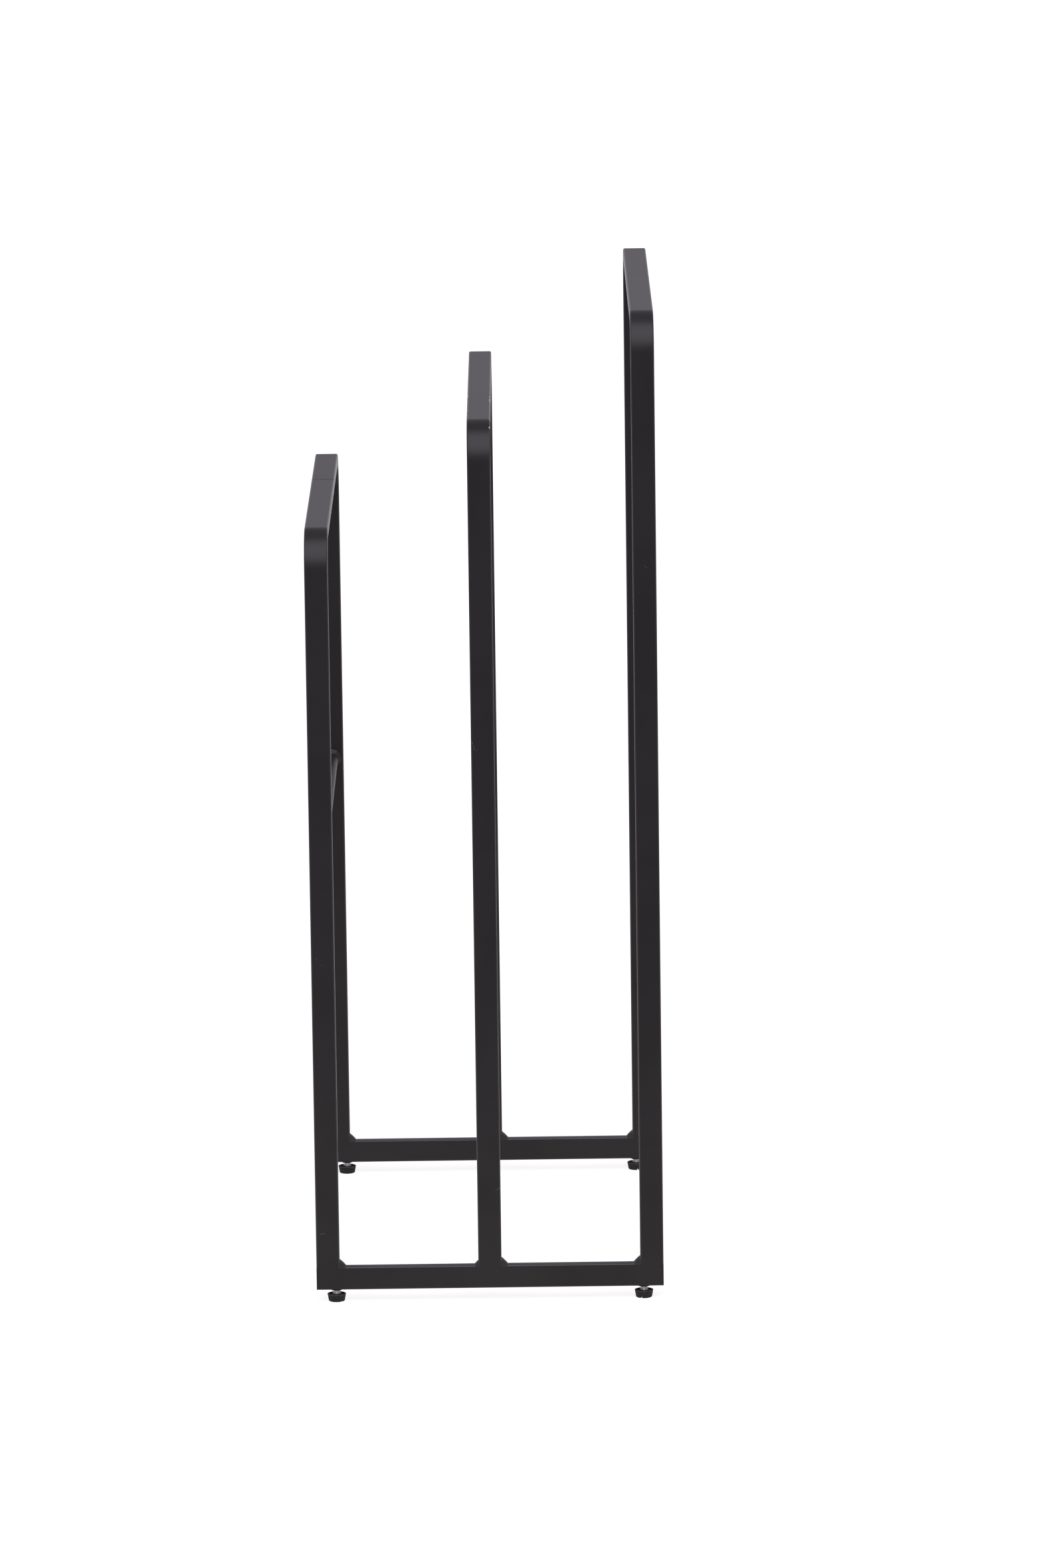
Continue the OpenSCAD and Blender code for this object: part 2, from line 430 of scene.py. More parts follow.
def moulded_plastic():
    """Black plastic with a fine spark-eroded grain, paler on ribs and edges from scuffing, with a
    painted highlight on the top rim.
    """
    colours = bpy.context.scene.stand_finish
    material, graph = new_graph("moulded_plastic")
    grain = graph.noise(3200, detail=2)
    rubbed = graph.noise(500, detail=4, roughness=0.7)
    # Pale where the mask is high: scuffing on ribs and edges, and a painted highlight on the top
    # rim.
    scuff_and_highlight = graph.band(graph.wear() * 0.5 + rubbed, 0.62, 0.95)
    graph.surface(
        Base_Color=graph.mix(scuff_and_highlight, rgba(colours.plastic), rgba(colours.plastic_scuffed_and_highlit)),
        Roughness=0.42 + 0.12 * grain + 0.1 * scuff_and_highlight,
        IOR=1.3,
        Normal=graph.bump(grain, 0.3, 0.04 * MM),
    )
    return material


def studio_floor():
    """Pale matt paper with a very faint tooth, lit from below."""
    shade = bpy.context.scene.stand_finish.floor
    reflected = 0.2
    material, graph = new_graph("studio_floor")
    graph.surface(
        Base_Color=rgba([reflected * channel for channel in shade]),
        Roughness=0.9,
        Specular_IOR_Level=0.1,
        Emission_Color=rgba(shade),
        Emission_Strength=bpy.context.scene.stand_stage.floor_glow,
        Normal=graph.bump(graph.noise(400, detail=2), 0.05, 0.05 * MM),
    )
    return material


def tube_coat():
    """The powder coat of the hoops, with their chips and scratch."""
    return powder_coat("tube_coat", wear=0.17, chips=knocks(), scratches=[scrape()])


FINISHES = {
    "tube_coat": tube_coat,
    "rod_coat": lambda: powder_coat("rod_coat", wear=0.17, rough=0.41),
    "rail_coat": lambda: powder_coat("rail_coat", wear=0.16),
    "seam_coat": lambda: powder_coat("seam_coat", wear=0.3),
    "bead_coat": weld_coat,
    "bright_zinc": bright_zinc,
    "moulded_plastic": moulded_plastic,
    "studio_floor": studio_floor,
}


def finish(name):
    """The material of this name, made when it is first asked for."""
    return bpy.data.materials.get(name) or FINISHES[name]()


# ---------------------------------------------------------------- mesh building

class Solid:
    """Points, faces and an edge mask gathered for one piece; the mask drives wear and painted edge
    highlights.
    """

    def __init__(self):
        self.points = []
        self.faces = []
        self.wear = []

    def skin(self, rings, wear, wrap=False):
        """Joins loops of points with quads, and gives the number of each loop's first point."""
        count = len(rings[0])
        starts = []
        for ring, worn in zip(rings, wear):
            starts.append(len(self.points))
            self.points.extend(ring)
            self.wear.extend(worn)
        following = starts[1:] + (starts[:1] if wrap else [])
        for a, b in zip(starts, following):
            for j in range(count):
                k = (j + 1) % count
                self.faces.append((a + j, a + k, b + k, b + j))
        return starts

    def loft(self, rings, wear=None):
        """A closed solid through loops of points, with a flat face on each end."""
        count = len(rings[0])
        starts = self.skin(rings, wear or [[0.0] * count] * len(rings))
        for start in (starts[0], starts[-1]):
            self.faces.append(tuple(range(start, start + count)))

    def ring(self, rings, wear=None):
        """A closed solid whose loops of points come back to the first one."""
        self.skin(rings, wear or [[0.0] * len(rings[0])] * len(rings), wrap=True)

    def pipe(self, outer, inner, wear):
        """A hollow solid between two skins, with the wall closed at both ends."""
        count = len(outer[0])
        outside = self.skin(outer, wear)
        inside = self.skin(inner, [[0.0] * count] * len(inner))
        for a, b in ((outside[0], inside[0]), (outside[-1], inside[-1])):
            for j in range(count):
                k = (j + 1) % count
                self.faces.append((a + j, a + k, b + k, b + j))

    def piece(self, name, material, sharp=40.0):
        """The mesh object, with smooth shading that breaks at sharp edges."""
        mesh = bpy.data.meshes.new(name)
        mesh.from_pydata(self.points, [], self.faces)
        solid = bmesh.new()
        solid.from_mesh(mesh)
        bmesh.ops.recalc_face_normals(solid, faces=solid.faces)
        solid.to_mesh(mesh)
        solid.free()
        mesh.attributes.new("edge", "FLOAT", "POINT").data.foreach_set("value", self.wear)
        mesh.shade_smooth()
        mesh.set_sharp_from_angle(angle=math.radians(sharp))
        mesh.materials.append(finish(material))
        built = bpy.data.objects.new(name, mesh)
        bpy.context.scene.collection.objects.link(built)
        flat = built.modifiers.new("flat faces stay flat", "WEIGHTED_NORMAL")
        flat.keep_sharp = True
        return built


def hand_over(piece, body, slot, *nodes):
    """Ties a piece to its body and hides the CAD nodes that it stands for; the slot is not used."""
    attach(piece, body)
    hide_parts(*nodes)


def polar(radius, angle):
    """A point on a circle round the origin."""
    return radius * math.cos(angle), radius * math.sin(angle)


def tube_outline(width, depth, radius, steps, face_steps=6):
    """Loop round the flat tube's section as (across, in from the outer face, edge mask for wear and
    painted highlight).
    """
    half = width / 2 - radius
    corners = [(half, radius), (half, depth - radius), (-half, depth - radius), (-half, radius)]
    broad_faces = {1: (half, depth), 3: (-half, 0.0)}
    outline = []
    for corner, (middle, inward) in enumerate(corners):
        for step in range(steps + 1):
            across, deep = polar(radius, (corner - 1 + step / steps) * QUARTER)
            worn = math.sin(math.pi * step / steps)
            outline.append((middle + across, inward + deep, worn))
        if corner in broad_faces:
            start, face = broad_faces[corner]
            outline.extend(
                (start * (1 - 2 * step / face_steps), face, 0.0) for step in range(1, face_steps))
    return outline


def tube_size():
    """Width and depth of the flat tube, from the front rail."""
    low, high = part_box("front_rail")
    return high.z - low.z, high.y - low.y


def tube_loops(tube):
    """The flat tube's outline, the outline of its bore, and the edge mask for wear and painted
    highlight round its outside.
    """
    width, thick = tube_size()
    outline = tube_outline(width, thick, tube.edge_radius, tube.corner_steps)
    bore_width, bore_thick = width - 2 * tube.wall, thick - 2 * tube.wall
    bore = tube_outline(bore_width, bore_thick, tube.edge_radius / 4, tube.corner_steps)
    return outline, bore, [worn for *_, worn in outline]


# ---------------------------------------------------------------- the pieces

def half_hoop_path(node, side, tube):
    """Sections along a half hoop as (distance out, height, direction in, bend share, grind)."""
    low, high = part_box(node)
    out = high.y if side > 0 else -low.y
    seam = low.y if side > 0 else -high.y
    radius = tube.bend_radius
    bend_y, bend_z = out - radius, high.z - radius
    path = []
    for share in (0, 0.25, 0.5, 0.75):
        path.append((out, low.z + share * (bend_z - low.z), 0.0, 0.0, 0.0))
    for step in range(tube.bend_steps + 1):
        share = step / tube.bend_steps
        across, up = polar(radius, share * QUARTER)
        path.append((bend_y + across, bend_z + up, share * QUARTER, share, 0.0))
    arm = seam + tube.seam_chamfer - bend_y
    path.extend(
        (bend_y + share * arm, high.z, QUARTER, 0.0, 0.0) for share in (0.25, 0.5, 0.75, 1.0))
    path.append((seam, high.z, QUARTER, 0.0, 1.0))
    return path


def upright(node, side, tube, seam_depth):
    """Half a hoop of flat tube: post, bend and arm."""
    width, thick = tube_size()
    middle = sum(corner.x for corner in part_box(node)) / 2
    outline, bore, worn = tube_loops(tube)

    def section(loop, place, start):
        y, z, angle, bend, ground = place
        inward_y, inward_z = -math.cos(angle), -math.sin(angle)
        dip = tube.bend_dip * math.sin(math.pi * bend) ** 2
        points = []
        for across, deep, _ in loop:
            crown = 1 - (2 * across / width) ** 2
            sunk = dip * crown * (deep < tube.edge_radius)
            sunk += seam_depth * ground * (1 - 2 * deep / thick)
            across *= 1 - seam_depth * ground / (width / 2)
            deep += start + sunk
            out, up = y + inward_y * deep, z + inward_z * deep
            points.append(Vector((middle + across, side * out, up)))
        return points

    path = half_hoop_path(node, side, tube)
    solid = Solid()
    solid.pipe(
        [section(outline, place, 0.0) for place in path],
        [section(bore, (*place[:3], 0.0, 0.0), tube.wall) for place in path],
        [worn] * len(path))
    return solid.piece(node + "_tube", "tube_coat")


class STAND_OT_uprights(bpy.types.Operator):
    """Build the bent halves of the three hoops"""
    bl_idname = "stand.uprights"
    bl_label = "Uprights"
    bl_options = {"REGISTER", "UNDO"}

    def execute(self, context):
        scene = context.scene
        for hoop, seam_depth in zip(HOOPS, scene.stand_weld.seam_depth):
            for name, side in SIDES.items():
                node = f"{name}_{hoop}_upright"
                piece = upright(node, side, scene.stand_tube, seam_depth)
                hand_over(piece, "frame", "powder_coat", node)
        return {"FINISHED"}


class STAND_OT_rails(bpy.types.Operator):
    """Build the floor rails and the plates that close their ends"""
    bl_idname = "stand.rails"
    bl_label = "Rails"
    bl_options = {"REGISTER", "UNDO"}

    def execute(self, context):
        thick = tube_size()[1]
        outline, bore, worn = tube_loops(context.scene.stand_tube)
        wall = context.scene.stand_tube.wall
        spans = 6
        plate_shape = {0.0: 0.995, 0.2: 1.0, 0.6: 1.0, 1.0: 0.985}
        plate_wear = [[0.6 * wear for wear in worn]] * 3 + [worn]
        plates = Solid()
        for name, side in SIDES.items():
            node = name + "_rail"
            low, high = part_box(node)
            face = high.y if side > 0 else -low.y
            middle = (low.z + high.z) / 2

            def section(loop, x, start=0.0, shrink=1.0):
                centre = thick / 2
                return [
                    Vector((
                        x,
                        side * (face - centre + (centre - start - deep) * shrink),
                        middle + across * shrink))
                    for across, deep, _ in loop]

            rail = Solid()
            stations = [low.x + (high.x - low.x) * share / spans for share in range(spans + 1)]
            rail.pipe(
                [section(outline, x) for x in stations],
                [section(bore, x, wall) for x in stations],
                [worn] * len(stations))
            hand_over(rail.piece(node + "_tube", "rail_coat"), "frame", "powder_coat", node)

            plate_low, plate_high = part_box("rail_end_plates")
            for inner, outer in ((low.x, plate_low.x), (high.x, plate_high.x)):
                rings = [
                    section(outline, inner + (outer - inner) * share, shrink=shrink)
                    for share, shrink in plate_shape.items()]
                plates.loft(rings, plate_wear)
        piece = plates.piece("rail_end_plates_ground", "rail_coat")
        hand_over(piece, "frame", "powder_coat", "rail_end_plates")
        return {"FINISHED"}


def bead_height(place, along, across, weld):
    """Height of a weld bead's ripples and lumps at a place, with crescents along the bead."""
    crescent = along / weld.pitch + 0.35 * math.sin(math.pi * across)
    ripple = abs(math.sin(math.pi * crescent))
    grain = noise.noise(place * 900)
    lumps = noise.noise(place * 330)
    return weld.ripple * (ripple + 0.5 * grain + 0.6 * lumps)


def rounded_off(distance, radius):
    """How far a tube's side has drawn back at a distance from its face, over the rounded edge."""
    return radius - math.sqrt(max(0.0, radius ** 2 - max(0.0, radius - distance) ** 2))


def fillet_bead(solid, corner, toward, leg, depth, weld, radius):
    """Fills an inner corner between a post and a rail with a rippled bead that runs along Y."""
    steps_along = 48
    steps_across = 14
    buried = 0.2 * MM
    end_shrink = 0.18
    bulge = 0.02 * leg
    normal = Vector((toward, 0.0, 1.0)).normalized()
    rings = []
    wear = []
    for i in range(steps_along + 1):
        share = 0.5 - 0.5 * math.cos(math.pi * i / steps_along)
        y = corner.y + (share - 0.5) * depth
        shrink = 1 - end_shrink * (2 * abs(share - 0.5)) ** 8
        root = buried + rounded_off(weld.inset + min(share, 1 - share) * depth, radius)
        ring = [
            Vector((corner.x + toward * leg * shrink, y, corner.z - root)),
            Vector((corner.x - toward * root, y, corner.z - root)),
            Vector((corner.x - toward * root, y, corner.z + leg * shrink)),
        ]
        worn = [0.0, 0.0, 0.0]
        for j in range(steps_across + 1):
            across = 1 - j / steps_across
            crown = math.sin(math.pi * across)
            flat = Vector((toward * leg * (1 - across), 0.0, leg * across)) * shrink
            place = Vector((corner.x, y, corner.z)) + flat
            lift = bulge * crown + bead_height(place, share * depth, across, weld) * crown ** 0.5
            ring.append(place + normal * lift)
            worn.append(0.9 if j in (0, steps_across) else 0.15)
        rings.append(ring)
        wear.append(worn)
    solid.loft(rings, wear)


def flush_strip(solid, centre, side, radius, width):
    """Weld between a post's foot and the rail's rounded edge, ground flush with their faces."""
    steps_across = 40
    steps_up = 6
    end_gap = 0.02 * MM
    below_face = 0.006 * MM
    rings = []
    for i in range(steps_across + 1):
        across = -math.cos(math.pi * i / steps_across) * (width / 2 - end_gap)
        sunk = rounded_off(width / 2 - abs(across), radius) + below_face
        lowest = math.acos(max(-1.0, min(1.0, (radius - sunk) / radius)))
        x = centre.x + across
        ring = [Vector((x, centre.y - side * sunk, centre.z))]
        for j in range(steps_up + 1):
            back, up = polar(radius, lowest + j / steps_up * (QUARTER - lowest))
            ring.append(Vector((x, centre.y - side * (radius - back), centre.z - radius + up)))
        rings.append(ring)
    solid.loft(rings)


class STAND_OT_frame_welds(bpy.types.Operator):
    """Build the welds between the posts and the rails"""
    bl_idname = "stand.frame_welds"
    bl_label = "Frame welds"
    bl_options = {"REGISTER", "UNDO"}

    def execute(self, context):
        weld = context.scene.stand_weld
        radius = context.scene.stand_tube.edge_radius
        width, thick = tube_size()
        low_x, middle_x, tall_x = middles = [
            sum(corner.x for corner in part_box(f"front_{hoop}_upright")) / 2 for hoop in HOOPS]
        corners = [
            (low_x + width / 2, 1, weld.leg),
            (middle_x + width / 2, 1, weld.leg),
            (middle_x - width / 2, -1, weld.small_leg),
            (tall_x - width / 2, -1, weld.leg),
        ]
        for name in SIDES:
            low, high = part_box(name + "_rail")
            y = (low.y + high.y) / 2
            beads = Solid()
            for x, toward, leg in corners:
                corner = Vector((x, y, high.z))
                fillet_bead(beads, corner, toward, leg, thick - 2 * weld.inset, weld, radius)
            node = name + "_frame_welds"
            piece = beads.piece(node + "_beads", "bead_coat", sharp=60)
            hand_over(piece, "frame", "coated_weld", node)
            ground = Solid()
            for x in middles:
                for face, out in ((low.y, -1), (high.y, 1)):
                    flush_strip(ground, Vector((x, face, high.z)), out, radius, width)
            strips = ground.piece(name + "_ground_welds", "rail_coat", sharp=60)
            hand_over(strips, "frame", "powder_coat")
        return {"FINISHED"}


class STAND_OT_arm_seams(bpy.types.Operator):
    """Build the ground butt welds of the three arms"""
    bl_idname = "stand.arm_seams"
    bl_label = "Arm seams"
    bl_options = {"REGISTER", "UNDO"}

    def execute(self, context):
        tube = context.scene.stand_tube
        width, thick = tube_size()
        outline, bore, worn = tube_loops(tube)
        ground_shape = (1.0, 0.85, 0.8, 0.85, 1.0)
        spans = len(ground_shape) - 1
        solid = Solid()
        for hoop, depth in zip(HOOPS, context.scene.stand_weld.seam_depth):
            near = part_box(f"front_{hoop}_upright")[1]
            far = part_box(f"back_{hoop}_upright")[0]
            middle = near.x - width / 2

            def section(loop, y, start, sink):
                points = []
                for across, deep, _ in loop:
                    place = Vector((middle + across, y, near.z - start - deep))
                    ground = sink * (1 + 0.5 * noise.noise(place * 500))
                    place.x = middle + across * (1 - ground / (width / 2))
                    place.z -= ground * (1 - 2 * deep / thick)
                    points.append(place)
                return points

            stations = [near.y + (far.y - near.y) * share / spans for share in range(spans + 1)]
            sinks = [depth * share for share in ground_shape]
            solid.pipe(
                [section(outline, y, 0.0, sink) for y, sink in zip(stations, sinks)],
                [section(bore, y, tube.wall, 0.0) for y in stations],
                [[0.35 + 0.65 * wear for wear in worn]] * len(stations))
        piece = solid.piece("arm_seam_beads", "seam_coat")
        hand_over(piece, "frame", "powder_coat", "arm_seam_welds")
        return {"FINISHED"}


def rod_bead(solid, start, inward, radius, reach, weld):
    """A rough fillet bead round one end of the rod, where it meets a post."""
    around = 96
    steps = 9
    roughness = 2.6
    leg = reach - radius
    hollow = 0.1 * leg
    rings = []
    wear = []
    for i in range(around):
        angle = TURN * i / around
        out = Vector((math.cos(angle), 0.0, math.sin(angle)))
        normal = (out + Vector((0.0, inward, 0.0))).normalized()
        ring = []
        worn = []
        for j in range(steps + 1):
            share = j / steps
            flat = out * (radius + leg * (1 - share)) + Vector((0.0, inward * leg * share, 0.0))
            place = start + flat
            taper = math.sin(math.pi * share)
            lift = roughness * bead_height(place, angle * reach, share, weld) - hollow
            ring.append(place + normal * lift * taper)
            worn.append(0.5 * (1 - taper))
        ring.append(start + Vector((0.0, inward * leg * 0.5, 0.0)) + out * radius * 0.97)
        worn.append(0.0)
        rings.append(ring)
        wear.append(worn)
    solid.ring(rings, wear)


class STAND_OT_cross_rod(bpy.types.Operator):
    """Build the rod of the low hoop and the welds round its ends"""
    bl_idname = "stand.cross_rod"
    bl_label = "Cross rod"
    bl_options = {"REGISTER", "UNDO"}

    def execute(self, context):
        weld = context.scene.stand_weld
        low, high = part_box("cross_rod")
        centre = (low + high) / 2
        radius = (high.z - low.z) / 2
        around = 64
        spans = 48
        unevenness = 0.002

        rings = []
        for i in range(spans + 1):
            y = low.y + (high.y - low.y) * i / spans
            shrink = unevenness * (noise.noise(Vector((0, y * 20, 0))) - 1)
            circle = (polar(radius * (1 + shrink), TURN * j / around) for j in range(around))
            rings.append([Vector((centre.x + across, y, centre.z + up)) for across, up in circle])
        rod = Solid()
        rod.loft(rings)
        hand_over(rod.piece("cross_rod_bar", "rod_coat"), "frame", "powder_coat", "cross_rod")

        weld_low, weld_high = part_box("rod_welds")
        beads = Solid()
        for wall, inward in ((low.y, 1), (high.y, -1)):
            start = Vector((centre.x, wall, centre.z))
            rod_bead(beads, start, inward, radius, (weld_high.z - weld_low.z) / 2, weld)
        piece = beads.piece("rod_weld_beads", "bead_coat", sharp=60)
        hand_over(piece, "frame", "coated_weld", "rod_welds")
        return {"FINISHED"}


class STAND_OT_bushes(bpy.types.Operator):
    """Coat the threaded bushes under the rails"""
    bl_idname = "stand.bushes"
    bl_label = "Threaded bushes"
    bl_options = {"REGISTER", "UNDO"}

    def execute(self, context):
        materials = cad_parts["threaded_bushes"].data.materials
        for index in range(len(materials)):
            materials[index] = finish("rail_coat")
        return {"FINISHED"}


def thread(low, high, pitch, depth):
    """The rings of a stud with a helical thread, and how far each point is out of the roots."""
    around = 40
    per_turn = 10
    end_size, end_taper = 0.8, 0.3
    flank, half_crest = 2.5 / 0.8, 1.25
    centre = (low + high) / 2
    crest = (high.x - low.x) / 2
    count = math.ceil((high.z - low.z) / pitch * per_turn)
    rings = []
    wear = []
    for i in range(count + 1):
        z = low.z + (high.z - low.z) * i / count
        chamfer = min(1.0, end_size + (high.z - z) / pitch * end_taper)
        ring = []
        worn = []
        for j in range(around):
            phase = ((z - low.z) / pitch - j / around) % 1.0
            height = min(1.0, max(0.0, half_crest - flank * abs(phase - 0.5)))
            size = min(crest * chamfer, crest - depth * (1 - height))
            across, deep = polar(size, TURN * j / around)
            ring.append(Vector((centre.x + across, centre.y + deep, z)))
            worn.append(height)
        rings.append(ring)
        wear.append(worn)
    return rings, wear


class STAND_OT_studs(bpy.types.Operator):
    """Build the threaded studs of the feet"""
    bl_idname = "stand.studs"
    bl_label = "Studs"
    bl_options = {"REGISTER", "UNDO"}

    def execute(self, context):
        foot = context.scene.stand_foot
        for corner in CORNERS:
            node = corner + "_stud"
            solid = Solid()
            solid.loft(*thread(*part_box(node), foot.thread_pitch, foot.thread_depth))
            piece = solid.piece(node + "_thread", "bright_zinc")
            hand_over(piece, corner + "_screw", "zinc", node)
        return {"FINISHED"}


def foot_profile(foot, height, top_radius, stud_radius, socket):
    """A foot's outline from its base's middle to its socket, as (radius, height, rib, scuff and
    painted highlight).
    """
    base = foot.base_diameter / 2
    edge = foot.edge_radius
    lip = 0.25 * MM
    rib_top = height - 0.75 * MM
    plain_band = height - 0.62 * MM
    floor = height - foot.recess
    inner = top_radius - foot.rim
    hub = foot.hub_diameter / 2
    bore = stud_radius + foot.socket_clearance
    edge_steps = 6
    side_steps = 5
    profile = [(base * 0.4, 0.0, 0.0, 0.0), (base - edge, 0.0, 0.0, 0.2)]
    for step in range(1, edge_steps + 1):
        share = step / edge_steps
        along, up = polar(edge, -QUARTER + share * QUARTER)
        scuff_and_highlight = 0.9 * math.sin(math.pi * share)
        profile.append((base - edge + along, edge + up, 0.8 * share, scuff_and_highlight))
    for step in range(1, side_steps + 1):
        z = edge + step / side_steps * (rib_top - edge)
        slope = (z - edge) / (height - edge)
        profile.append((base + slope * (top_radius - base), z, 1.0, 0.1))
    return profile + [
        # Round the top rim the high values are a painted highlight.
        (top_radius - 0.1 * lip, plain_band, 0.0, 0.4),
        (top_radius, height - lip, 0.0, 0.8),
        (top_radius - 0.3 * lip, height - 0.3 * lip, 0.0, 1.0),
        (top_radius - lip, height, 0.0, 0.9),
        (inner + lip, height, 0.0, 0.4),
        (inner, height - lip, 0.0, 0.3),
        (inner, floor, 0.0, 0.0),
        (hub, floor, 0.0, 0.0),
        (hub, height - lip, 0.0, 0.2),
        (hub - lip, height, 0.0, 0.4),
        (bore, height, 0.0, 0.1),
        (bore, height - socket, 0.0, 0.0),
    ]


def foot_body(node, foot, turn):
    """A ribbed foot with a recessed top, webs, a socket and a driver slot."""
    low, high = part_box(node)
    stud_low, stud_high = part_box(node.replace("_foot", "_stud"))
    centre = (stud_low + stud_high) / 2
    height = high.z - low.z
    top_radius = (high.x - low.x) / 2
    stud_radius = (stud_high.x - stud_low.x) / 2
    per_rib = 6
    rib_roundness = 0.7
    rib_scuff = 0.45
    around = foot.rib_count * per_rib
    profile = foot_profile(foot, height, top_radius, stud_radius, high.z - stud_low.z)
    rings = []
    wear = []
    for radius, z, rib, edge in profile:
        ring = []
        worn = []
        for j in range(around):
            crest = 0.5 + 0.5 * math.cos(TURN * j / per_rib)
            size = radius - foot.rib_depth * rib * (1 - crest ** rib_roundness)
            across, deep = polar(size, TURN * j / around)
            ring.append(Vector((centre.x + across, centre.y + deep, low.z + z)))
            worn.append(max(edge, rib_scuff * rib * crest))
        rings.append(ring)
        wear.append(worn)
    solid = Solid()
    solid.loft(rings, wear)
    add_webs(solid, foot, centre, height, top_radius)
    piece = solid.piece(node + "_moulding", "moulded_plastic", sharp=50)
    cut_slot(piece, foot, centre, top_radius, turn)
    return piece


def box_rings(centre, half, spin):
    """The loops of a box that is turned about the vertical."""
    turned = Matrix.Rotation(spin, 4, "Z")
    return [
        [
            centre + turned @ Vector((sx * half.x, sy * half.y, sz * half.z))
            for sx, sy in ((-1, -1), (1, -1), (1, 1), (-1, 1))]
        for sz in (-1, 1)]


def add_webs(solid, foot, centre, height, top_radius):
    """Thin radial webs between the hub and the rim."""
    overlap = 0.2 * MM
    below_rim = 0.25 * MM
    sunk = 0.1 * MM
    start = foot.hub_diameter / 2 - overlap
    stop = top_radius - foot.rim + overlap
    rise = (foot.recess - below_rim) / 2
    half = Vector(((stop - start) / 2, foot.web / 2, rise + sunk))
    for number in range(foot.web_count):
        spin = TURN * (number + 0.5) / foot.web_count
        across, deep = polar((start + stop) / 2, spin)
        middle = Vector((centre.x + across, centre.y + deep, height - below_rim - rise - sunk))
        solid.loft(box_rings(middle, half, spin), [[0.3] * 4] * 2)


def cut_slot(piece, foot, centre, top_radius, turn):
    """Cuts the driver slot across the foot's base."""
    cutter = Solid()
    half = Vector((foot.slot_width / 2, top_radius * 1.1, foot.slot_depth))
    cutter.loft(box_rings(Vector((centre.x, centre.y, 0.0)), half, turn))
    tool = cutter.piece("slot_cutter", "moulded_plastic")
    cut = piece.modifiers.new("driver slot", "BOOLEAN")
    cut.object = tool
    cut.operation = "DIFFERENCE"
    cut.solver = "EXACT"
    piece.modifiers.move(1, 0)
    shown = piece.evaluated_get(bpy.context.evaluated_depsgraph_get())
    mesh = bpy.data.meshes.new_from_object(shown)
    piece.modifiers.clear()
    piece.data = mesh
    bpy.data.objects.remove(tool)


class STAND_OT_feet(bpy.types.Operator):
    """Build the moulded feet"""
    bl_idname = "stand.feet"
    bl_label = "Feet"
    bl_options = {"REGISTER", "UNDO"}

    def execute(self, context):
        foot = context.scene.stand_foot
        for corner, turn in zip(CORNERS, foot.slot_turn):
            node = corner + "_foot"
            hand_over(foot_body(node, foot, turn), corner + "_base", "black_plastic", node)
        return {"FINISHED"}


def lay_floor(scene):
    """A pale sheet that starts a little in front of the stand."""
    near, far, half_width = -0.9, 16.0, 10.0
    corners = [(-half_width, near), (half_width, near), (half_width, far), (-half_width, far)]
    mesh = bpy.data.meshes.new("floor")
    mesh.from_pydata([(x, y, 0.0) for x, y in corners], [], [(0, 1, 2, 3)])
    mesh.materials.append(finish("studio_floor"))
    floor = bpy.data.objects.new("floor", mesh)
    scene.collection.objects.link(floor)


def light_room(scene):
    """A low sweep behind the stand and a softbox, in a dim room; the camera sees plain white.

    Each pair is where a light starts and is full, as a part of the direction to it."""
    settings = scene.stand_stage
    white = 1.05
    behind = (-0.05, 0.3)
    sweep_foot, sweep_top = (-0.04, 0.04), (0.24, 0.42)
    horizon = (-0.12, 0.02)
    softbox_edge = [math.cos(math.radians(angle)) for angle in (42, 12)]
    world = bpy.data.worlds.new("studio")
    scene.world = world
    graph = Graph(world)
    direction = graph.add("ShaderNodeTexCoord", {}, {}, "Generated")
    parts = {"Vector": direction}
    depth = graph.add("ShaderNodeSeparateXYZ", {}, parts, "Y")
    up = graph.add("ShaderNodeSeparateXYZ", {}, parts, "Z")
    sweep = graph.band(depth, *behind) * graph.band(up, *sweep_foot)
    sweep = sweep * (1 - graph.band(up, *sweep_top))
    forward, high = polar(1.0, settings.softbox_height)
    toward_box = graph.vector("DOT_PRODUCT", direction, (0.0, -forward, high), "Value")
    box = graph.band(toward_box, *softbox_edge)
    below = 1 - graph.band(up, *horizon)
    glow = settings.room + (settings.room_floor - settings.room) * below
    glow = glow + (settings.back_glow - settings.room) * sweep + settings.softbox * box
    seen = graph.add("ShaderNodeLightPath", {}, {}, "Is Camera Ray")
    strength = glow + seen * (white - glow)
    tint = graph.mix(seen, rgba(settings.tint), (1.0, 1.0, 1.0, 1.0))
    light = graph.add("ShaderNodeBackground", {}, {"Color": tint, "Strength": strength})
    graph.add("ShaderNodeOutputWorld", {}, {"Surface": light})


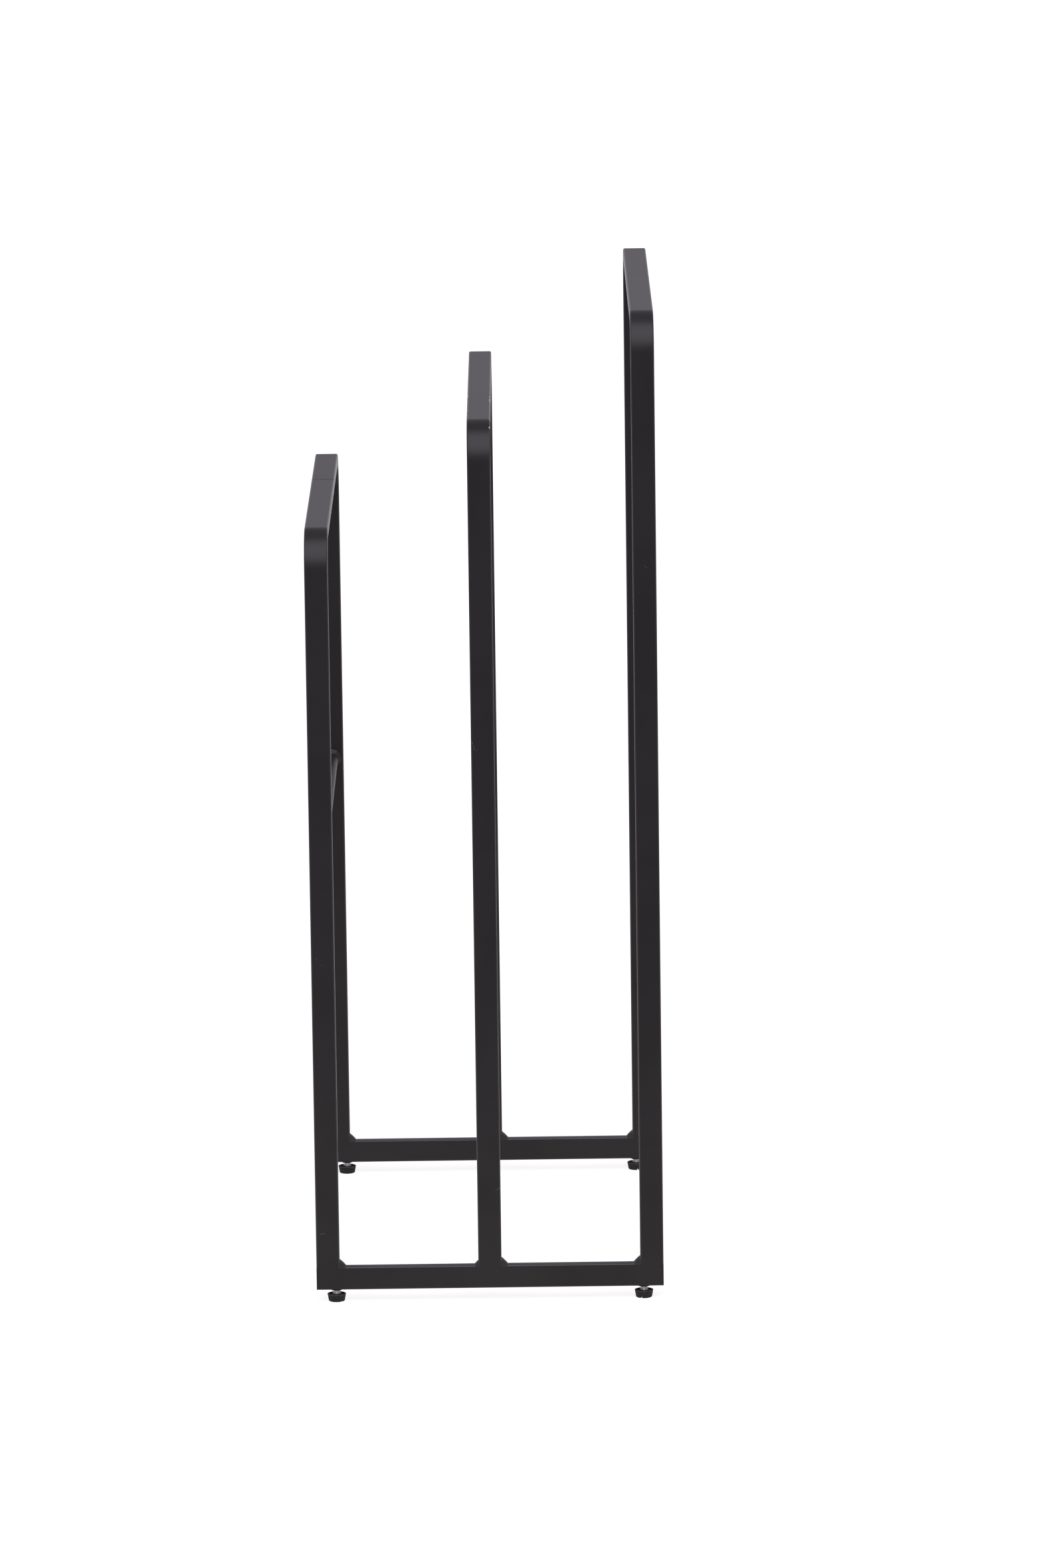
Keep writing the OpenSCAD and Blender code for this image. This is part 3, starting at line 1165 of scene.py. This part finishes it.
def place_camera(scene):
    """A long lens in front of the stand, a little above it."""
    settings = scene.stand_stage
    data = bpy.data.cameras.new("camera")
    data.lens = settings.lens
    data.clip_end = 100.0
    camera = bpy.data.objects.new("camera", data)
    aim = Euler((QUARTER - settings.camera_tilt, 0.0, settings.camera_turn)).to_matrix()
    roll = Matrix.Rotation(settings.camera_roll, 3, "Z")
    camera.rotation_euler = (aim @ roll).to_euler()
    camera.location = (settings.camera_side, -settings.camera_distance, settings.camera_height)
    scene.collection.objects.link(camera)
    scene.camera = camera


class STAND_OT_stage(bpy.types.Operator):
    """Set the floor, the lights and the camera"""
    bl_idname = "stand.stage"
    bl_label = "Stage"
    bl_options = {"REGISTER", "UNDO"}

    def execute(self, context):
        context.scene.view_settings.view_transform = "Standard"
        lay_floor(context.scene)
        light_room(context.scene)
        place_camera(context.scene)
        return {"FINISHED"}


OPERATORS = (
    STAND_OT_stage,
    STAND_OT_uprights,
    STAND_OT_rails,
    STAND_OT_frame_welds,
    STAND_OT_arm_seams,
    STAND_OT_cross_rod,
    STAND_OT_bushes,
    STAND_OT_studs,
    STAND_OT_feet,
)


class STAND_PT_build(bpy.types.Panel):
    """Lists the stand's pieces and their sizes."""
    bl_label = "Stepped hoop stand"
    bl_space_type = "VIEW_3D"
    bl_region_type = "UI"
    bl_category = "Stand"

    def draw(self, context):
        for operator in OPERATORS:
            self.layout.operator(operator.bl_idname)
        for name in PROPERTY_GROUPS:
            group = getattr(context.scene, name)
            box = self.layout.box()
            for key in group.__annotations__:
                box.prop(group, key)


CLASSES = (*PROPERTY_GROUPS.values(), *OPERATORS, STAND_PT_build)


def register():
    for each in CLASSES:
        bpy.utils.register_class(each)
    for name, group in PROPERTY_GROUPS.items():
        setattr(bpy.types.Scene, name, PointerProperty(type=group))


def unregister():
    for name in PROPERTY_GROUPS:
        delattr(bpy.types.Scene, name)
    for each in reversed(CLASSES):
        bpy.utils.unregister_class(each)


def main():
    register()
    for operator in OPERATORS:
        group, name = operator.bl_idname.split(".")
        getattr(getattr(bpy.ops, group), name)()


if __name__ == "__main__":
    main()
